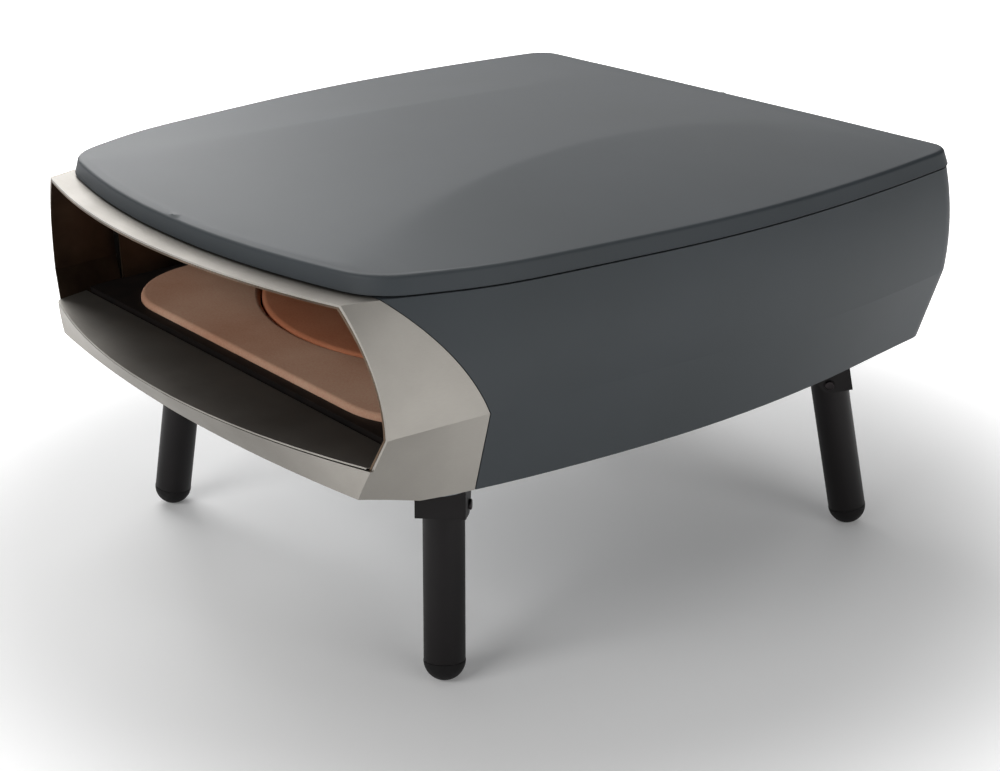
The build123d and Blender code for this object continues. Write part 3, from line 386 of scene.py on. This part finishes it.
sintered_bronze, tree, shader = new_material("sintered bronze", Metallic=1.0, Roughness=0.55)
patches(tree, shader, bronze_dark, bronze_light, plating_mm)
raise_grain(tree, shader, pore_mm, pore_depth_mm)
dress(sintered_bronze, "shaft_bush")


# Gas box: folded sheet in the legs' black coat, riveted under the pan. It holds brass valves and a brass
# manifold and inlet, turned from bar and lightly tarnished.
brass_dark = "#ab8442"
brass_light = "#c9a25a"

dress(black_coat, "gas_box")

turned_brass, tree, shader = new_material("turned brass", Metallic=1.0, Roughness=0.3)
patches(tree, shader, brass_dark, brass_light, plating_mm, detail=5.0)
dress(turned_brass, "main_valve", "booster_valve", "gas_manifold", "gas_inlet")


# Burners and probe: bent stainless tube with drilled ports round the chamber and under the disc, and the
# probe's plain tube beside them, all browned by the flame.
burner_dark = "#4d4238"
burner_light = "#8f857b"
burner_patch_mm = 25

flamed_tube, tree, shader = new_material("flame-tinted stainless tube", Metallic=1.0, Roughness=0.42)
patches(tree, shader, burner_dark, burner_light, burner_patch_mm, detail=5.0)
dress(flamed_tube, "u_burner", "booster_burner", "thermocouple")


# Igniter: a fired alumina rod, off-white and smooth. It stands through the floor tray beside the burner's
# rear run.
alumina_dark = "#d9d2c0"
alumina_light = "#ebe5d6"

fired_alumina, tree, shader = new_material("fired alumina", Roughness=0.5, IOR=1.76)
patches(tree, shader, alumina_dark, alumina_light, plating_mm)
dress(fired_alumina, "igniter_electrode")


# Floor tray: pressed steel with an apron round the front stone and a well under the disc. Its dark vitreous
# enamel is dulled by cooking and slightly mottled.
enamel_dark = "#0b0806"
enamel_light = "#1d1410"
mottle_mm = 14

black_enamel, tree, shader = new_material("black vitreous enamel", Roughness=0.6, IOR=1.5)
patches(tree, shader, enamel_dark, enamel_light, mottle_mm, detail=5.0)
raise_grain(tree, shader, peel_mm, peel_depth_mm)
dress(black_enamel, "floor_tray")


# Liners and flame guard: stainless sheet round the fire, folded and spot-welded, browned and dulled by the
# heat in broad patches.
heat_dark = "#3c2f24"
heat_light = "#776453"
stain_mm = 70

heated_steel, tree, shader = new_material("heat-stained stainless steel", Metallic=0.8, Roughness=0.5)
patches(tree, shader, heat_dark, heat_light, stain_mm, detail=6.0)
dress(heated_steel, "mouth_liner", "oven_liner", "flame_guard")


# Insulation: ceramic fibre, off-white and fibrous, as a blanket round the oven liner's sides and rear and a
# slab under the cover.
fibre_dark = "#c9c3b2"
fibre_light = "#e4dfd0"
fibre_mm = 3
fibre_depth_mm = 0.3

fibre_board, tree, shader = new_material("ceramic fibre board", Roughness=1.0)
patches(tree, shader, fibre_dark, fibre_light, fibre_mm, detail=6.0)
raise_grain(tree, shader, fibre_mm, fibre_depth_mm)
dress(fibre_board, "wall_insulation", "ceiling_insulation")


# Stones: pressed and fired cordierite, dry and matt, with darker and lighter grains of about 1.6 mm and open
# pores. The turning disc lies deeper in the oven and is coloured a darker, redder tan than the front stone,
# for painted shade and painted reddish bounce light.
stone_patch_mm = 90
stone_grain_mm = 1.6
stone_grain_detail = 3.0
stone_grain_roughness = 0.7
stone_grain_share = 0.35
front_stone_dark = "#dca688"
front_stone_light = "#efc2a5"
# Darker, redder tans than the front stone's: painted shade and painted reddish bounce light deeper in the
# oven
disc_shade_bounce_dark = "#d6855e"
disc_shade_bounce_light = "#ea9f79"

for name, node_name, dark, light in (
    ("cordierite front stone", "front_stone", front_stone_dark, front_stone_light),
    ("cordierite disc", "stone_disc", disc_shade_bounce_dark, disc_shade_bounce_light),
):
    stone, tree, shader = new_material(name, Roughness=0.92, IOR=1.45)
    tint = patches(tree, shader, dark, light, stone_patch_mm, detail=5.0)
    place = add_node(tree, "ShaderNodeTexCoord")
    grain = add_node(
        tree,
        "ShaderNodeTexNoise",
        {
            "Vector": place.outputs["Object"],
            "Scale": mm_per_metre / stone_grain_mm,
            "Detail": stone_grain_detail,
            "Roughness": stone_grain_roughness,
        },
    )
    speckle = add_node(
        tree,
        "ShaderNodeMixRGB",
        {"Fac": stone_grain_share, 1: tint.outputs["Color"], 2: grain.outputs["Fac"]},
        blend_type="OVERLAY",
    )
    tree.links.new(speckle.outputs["Color"], shader.inputs["Base Color"])
    raise_grain(tree, shader, pore_mm, pore_depth_mm)
    dress(stone, node_name)


# Hood and sill: stainless sheet, folded and brushed. The brushing runs across the oven on the level faces
# and from front to rear on the side facets, whose colour is painted lighter as a painted highlight where they
# catch the light. It is drawn as coarse as 0.6 mm so that it shows, over faint broad patches.
steel_dark = "#8e8a84"
steel_light = "#a29e98"
steel_patch_mm = 70
# Lighter steel for the side facets: a painted highlight, where they catch the light
facet_painted_highlight = "#c6c2bb"
facet_highlight_share = 0.3
facet_turn = (0.45, 0.6)
brush_mm = 0.6
brush_length_mm = 60
brush_depth_mm = 0.03
brush_detail = 3.0
brush_roughness = 0.65
gloss_range = (0.46, 0.6)

brushed_steel, tree, shader = new_material("brushed stainless steel", Metallic=1.0)
tint = patches(tree, shader, steel_dark, steel_light, steel_patch_mm, detail=4.0)
place = add_node(tree, "ShaderNodeTexCoord")
face = add_node(tree, "ShaderNodeNewGeometry")
turn = add_node(tree, "ShaderNodeSeparateXYZ", {"Vector": face.outputs["Normal"]})
steepness = add_node(tree, "ShaderNodeMath", {0: turn.outputs["X"]}, operation="ABSOLUTE")
sideways = add_node(
    tree,
    "ShaderNodeMapRange",
    {"Value": steepness.outputs["Value"], "From Min": facet_turn[0], "From Max": facet_turn[1]},
)
painted_highlight_share = add_node(
    tree,
    "ShaderNodeMath",
    {0: sideways.outputs["Result"], 1: facet_highlight_share},
    operation="MULTIPLY",
)
# The side facets' colour is mixed towards the lighter steel: a painted highlight
tint = add_node(
    tree,
    "ShaderNodeMixRGB",
    {"Fac": painted_highlight_share.outputs["Value"], 1: tint.outputs["Color"], 2: linear(facet_painted_highlight)},
)
tree.links.new(tint.outputs["Color"], shader.inputs["Base Color"])
# Two brushed grains, one drawn out along X for the level faces and one along Y for the side facets
grains = []
for lengthwise in (0, 1):
    scale = [mm_per_metre / brush_mm] * 3
    scale[lengthwise] = mm_per_metre / brush_length_mm
    stretch = add_node(tree, "ShaderNodeMapping", {"Vector": place.outputs["Object"], "Scale": scale})
    grain = add_node(
        tree,
        "ShaderNodeTexNoise",
        {
            "Vector": stretch.outputs["Vector"],
            "Scale": 1.0,
            "Detail": brush_detail,
            "Roughness": brush_roughness,
        },
    )
    grains.append(grain.outputs["Fac"])
grain = add_node(tree, "ShaderNodeMixRGB", {"Fac": sideways.outputs["Result"], 1: grains[0], 2: grains[1]})
gloss = add_node(
    tree,
    "ShaderNodeMapRange",
    {"Value": grain.outputs["Color"], "To Min": gloss_range[0], "To Max": gloss_range[1]},
)
tree.links.new(gloss.outputs["Result"], shader.inputs["Roughness"])
bump = add_node(
    tree,
    "ShaderNodeBump",
    {"Height": grain.outputs["Color"], "Strength": grain_strength, "Distance": brush_depth_mm / mm_per_metre},
)
tree.links.new(bump.outputs["Normal"], shader.inputs["Normal"])
dress(brushed_steel, "front_hood", "sill_ramp")


# Body shell: pressed steel walls with a slate powder coat. The coat is matt, with a fine orange-peel grain
# and a slight cloudiness from the spray gun.
slate_dark = "#393f43"
slate_light = "#3e4449"
cloud_mm = 120

slate_paint, tree, shader = new_material("slate powder coat", Roughness=0.55, IOR=1.5)
patches(tree, shader, slate_dark, slate_light, cloud_mm)
raise_grain(tree, shader, peel_mm, peel_depth_mm)
dress(slate_paint, "body_shell")


# Cover seal: a flat ring of woven glass-fibre tape, charcoal and dull, clamped between the shell's flange
# and the cover.
tape_dark = "#0c0d0f"
tape_light = "#1a1c1e"
weave_mm = 1.5
weave_depth_mm = 0.2

glass_tape, tree, shader = new_material("woven glass tape", Roughness=0.95)
patches(tree, shader, tape_dark, tape_light, weave_mm)
raise_grain(tree, shader, weave_mm, weave_depth_mm)
dress(glass_tape, "lid_seal")


# Top cover: one steel pressing in the same slate coat. Its edge follows the CAD cover's, and the crown, the
# two soft creases and the ramps beside them are drawn with running curves, as a press tool forms them. Its
# heights are in metres above the floor, and its places are in metres back from the mouth's corners.
rim_points = 352
edge_steps = 16
least_step = 0.0002
edge_inset = 0.0053
edge_round = 0.003
round_steps = 5
hem_round = 0.0006
flange_width = 0.012
sheet_thickness = 0.0015
shoulder_z = 0.3155
shell_half_width = 0.266
cover_front_back = -0.014
crown_start_back = 0.02
crown_rear_back = 0.538
crown_rise = 0.0174
crown_end_rise = 0.0006
crown_start_blend = 0.003
crown_camber = 0.0003
camber_reach = 1.5
straight_share = 0.97
ramp_foot_power = 3
least_ramp_share = 0.1
crease_blend = 0.0002
crease_end_blend = 0.003
crease_end_power = 3
smooth_angle = math.radians(40)
# Half width between the creases at even steps from front to rear, as shares of the shell's half width
crease_shares = (0.714, 0.59, 0.474, 0.393, 0.346, 0.331, 0.351, 0.462, 0.643)

seam_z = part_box("top_cover")[0][2]
foot_points = [
    (vertex.co.x, vertex.co.y)
    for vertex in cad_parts["top_cover"].data.vertices
    if vertex.co.z < seam_z + least_step
]
outline = []
for index in convex_hull_2d(foot_points):
    point = Vector(foot_points[index])
    if not outline or (point - outline[-1]).length > least_step:
        outline.append(point)
if (outline[0] - outline[-1]).length < least_step:
    outline.pop()

# The edge is one closed curve through the CAD cover's corners
edge_data = bpy.data.curves.new("cover edge", "CURVE")
edge_spline = edge_data.splines.new("BEZIER")
edge_spline.bezier_points.add(len(outline) - 1)
edge_spline.use_cyclic_u = True
edge_spline.resolution_u = edge_steps
for bezier_point, point in zip(edge_spline.bezier_points, outline):
    bezier_point.co = (point.x, point.y, 0)
    bezier_point.handle_left_type = "AUTO"
    bezier_point.handle_right_type = "AUTO"
edge_curve = bpy.data.objects.new("cover edge", edge_data)
bpy.context.scene.collection.objects.link(edge_curve)
edge_mesh = bpy.data.meshes.new_from_object(edge_curve)
edge_line = [vertex.co.xy for vertex in edge_mesh.vertices]
bpy.data.objects.remove(edge_curve)
edge_line.append(edge_line[0])


def even_points(line, count):
    """Points at even steps along a closed line."""
    reach = [0.0]
    for start, end in zip(line, line[1:]):
        reach.append(reach[-1] + (end - start).length)
    points = []
    segment = 0
    for number in range(count):
        distance = reach[-1] * number / count
        while reach[segment + 1] < distance:
            segment += 1
        share = (distance - reach[segment]) / (reach[segment + 1] - reach[segment])
        points.append(line[segment].lerp(line[segment + 1], share))
    return points


rim = even_points(edge_line, rim_points)
half_length = (max(point.y for point in rim) - min(point.y for point in rim)) / 2
half_width = max(point.x for point in rim)
middle_y = min(point.y for point in rim) + half_length


def grown(outset):
    """Scale that moves the rim outwards at its sides and ends by the same distance."""
    return (1 + outset / half_width, 1 + outset / half_length, 1)


# The top is a grid of faces, a quarter of the rim's points wide, within the inner rim
bpy.ops.object.select_all(action="DESELECT")
bpy.ops.mesh.primitive_circle_add(vertices=rim_points, radius=half_width, location=(0, 0, 0))
cover = bpy.context.object
cover.name = "pressed_top_cover"
inset_scale = grown(-edge_inset)
for vertex, point in zip(cover.data.vertices, rim):
    vertex.co = (point.x * inset_scale[0], middle_y + (point.y - middle_y) * inset_scale[1], shoulder_z)
inner_rim = [vertex.co.copy() for vertex in cover.data.vertices]
bpy.ops.object.mode_set(mode="EDIT")
bpy.ops.mesh.select_all(action="SELECT")
bpy.ops.mesh.fill_grid(span=rim_points // 4)
bpy.ops.mesh.select_all(action="SELECT")
bpy.ops.mesh.subdivide(number_cuts=1)
bpy.ops.object.mode_set(mode="OBJECT")

right_rim = sorted((point.y, point.x) for point in inner_rim if point.x >= 0)


def between(places, place):
    """Value at a place in a sorted table of places and values."""
    for (start, first), (end, second) in zip(places, places[1:]):
        if place <= end:
            reach = max(0, place - start)
            return first + (second - first) * reach / (end - start) if end > start else first
    return places[-1][1]


def crease_half_width(distance):
    """Half width between the creases, on a smooth curve through the crease shares."""
    steps = len(crease_shares) - 1
    place = (distance - cover_front_back) / (crown_rear_back - cover_front_back) * steps
    place = min(max(place, 0), steps)
    first = min(int(place), steps - 1)
    part = place - first
    before, start, end, after = [
        crease_shares[min(max(first + shift, 0), steps)]
        for shift in (-1, 0, 1, 2)
    ]
    # A cubic from one share to the next, with slopes taken from the shares on both sides
    slope_start = (end - before) / 2
    slope_end = (after - start) / 2
    share = (
        start * (2 * part**3 - 3 * part**2 + 1)
        + slope_start * (part**3 - 2 * part**2 + part)
        + end * (3 * part**2 - 2 * part**3)
        + slope_end * (part**3 - part**2)
    )
    return share * shell_half_width


def soft_max(first, second, blend):
    """The greater of two values, with a round of the blend's size where they cross."""
    return (first + second + math.sqrt((first - second) ** 2 + blend**2)) / 2


def soft_min(first, second, blend):
    """The smaller of two values, with a round of the blend's size where they cross."""
    return (first + second - math.sqrt((first - second) ** 2 + blend**2)) / 2


def cover_rise(x, y):
    """Height of the cover above its shoulder."""
    distance = y - mouth_y
    share = (distance - crown_start_back) / (crown_rear_back - crown_start_back)
    # From front to rear the crown is a parabola, which starts from the level front over a soft blend
    arch = 4 * crown_rise * share * (1 - share)
    crown = crown_end_rise + max(0, soft_max(arch, 0, crown_start_blend * max(0, 1 - 2 * share)))
    # Beside the crease the ramp runs down to the rim, nearly straight
    side = max(between(right_rim, y), least_step)
    crease = min(crease_half_width(distance), side * (1 - least_ramp_share))
    out = min((abs(x) - crease) / (side - crease), 1)
    ramp = crown * (1 - straight_share * out - (1 - straight_share) * max(out, 0) ** ramp_foot_power)
    # The crease is where the cambered crown and the ramp cross, and it softens towards both ends
    top = crown - crown_camber * min(abs(x) / crease, camber_reach) ** 2 * crown / crown_rise
    ends = abs(2 * share - 1) ** crease_end_power
    blend = min(crease_blend + (crease_end_blend - crease_blend) * ends, crown / 2)
    return soft_min(top, ramp, blend)


for vertex in cover.data.vertices:
    vertex.co.z = shoulder_z + max(0, cover_rise(vertex.co.x, vertex.co.y))

# The rim turns down over a small round, runs to the seam with a little draft, and folds in as a flange
profile = []
for step in range(1, round_steps + 1):
    angle = math.pi / 2 * step / round_steps
    profile.append((edge_round * math.sin(angle), shoulder_z - edge_round * (1 - math.cos(angle))))
profile.append((edge_inset, seam_z + hem_round))
profile.append((edge_inset - hem_round, seam_z))
profile.append((edge_inset - hem_round - flange_width, seam_z))

bpy.ops.object.mode_set(mode="EDIT")
bpy.ops.mesh.select_mode(type="EDGE")
bpy.ops.mesh.select_all(action="SELECT")
bpy.ops.mesh.region_to_loop()
bpy.ops.object.mode_set(mode="OBJECT")
reached = 0
for outset, height in profile:
    bpy.ops.object.mode_set(mode="EDIT")
    bpy.ops.mesh.extrude_edges_move()
    now = grown(reached - edge_inset)
    wanted = grown(outset - edge_inset)
    ratio = (wanted[0] / now[0], wanted[1] / now[1], 1)
    bpy.ops.transform.resize(value=ratio, center_override=(0, middle_y, 0))
    bpy.ops.object.mode_set(mode="OBJECT")
    for vertex in cover.data.vertices:
        if vertex.select:
            vertex.co.z = height
    reached = outset

# The faces are turned outwards, and the sheet gets its thickness inwards
bpy.ops.object.mode_set(mode="EDIT")
bpy.ops.mesh.select_all(action="SELECT")
bpy.ops.mesh.normals_make_consistent(inside=False)
bpy.ops.object.mode_set(mode="OBJECT")
if max(cover.data.polygons, key=lambda polygon: polygon.center.z).normal.z < 0:
    cover.data.flip_normals()
wall = cover.modifiers.new("sheet", "SOLIDIFY")
wall.thickness = sheet_thickness
wall.offset = -1
bpy.ops.object.modifier_apply(modifier=wall.name)
bpy.ops.object.shade_smooth_by_angle(angle=smooth_angle)
cover.data.materials.append(slate_paint)
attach(cover, "oven")
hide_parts("top_cover")
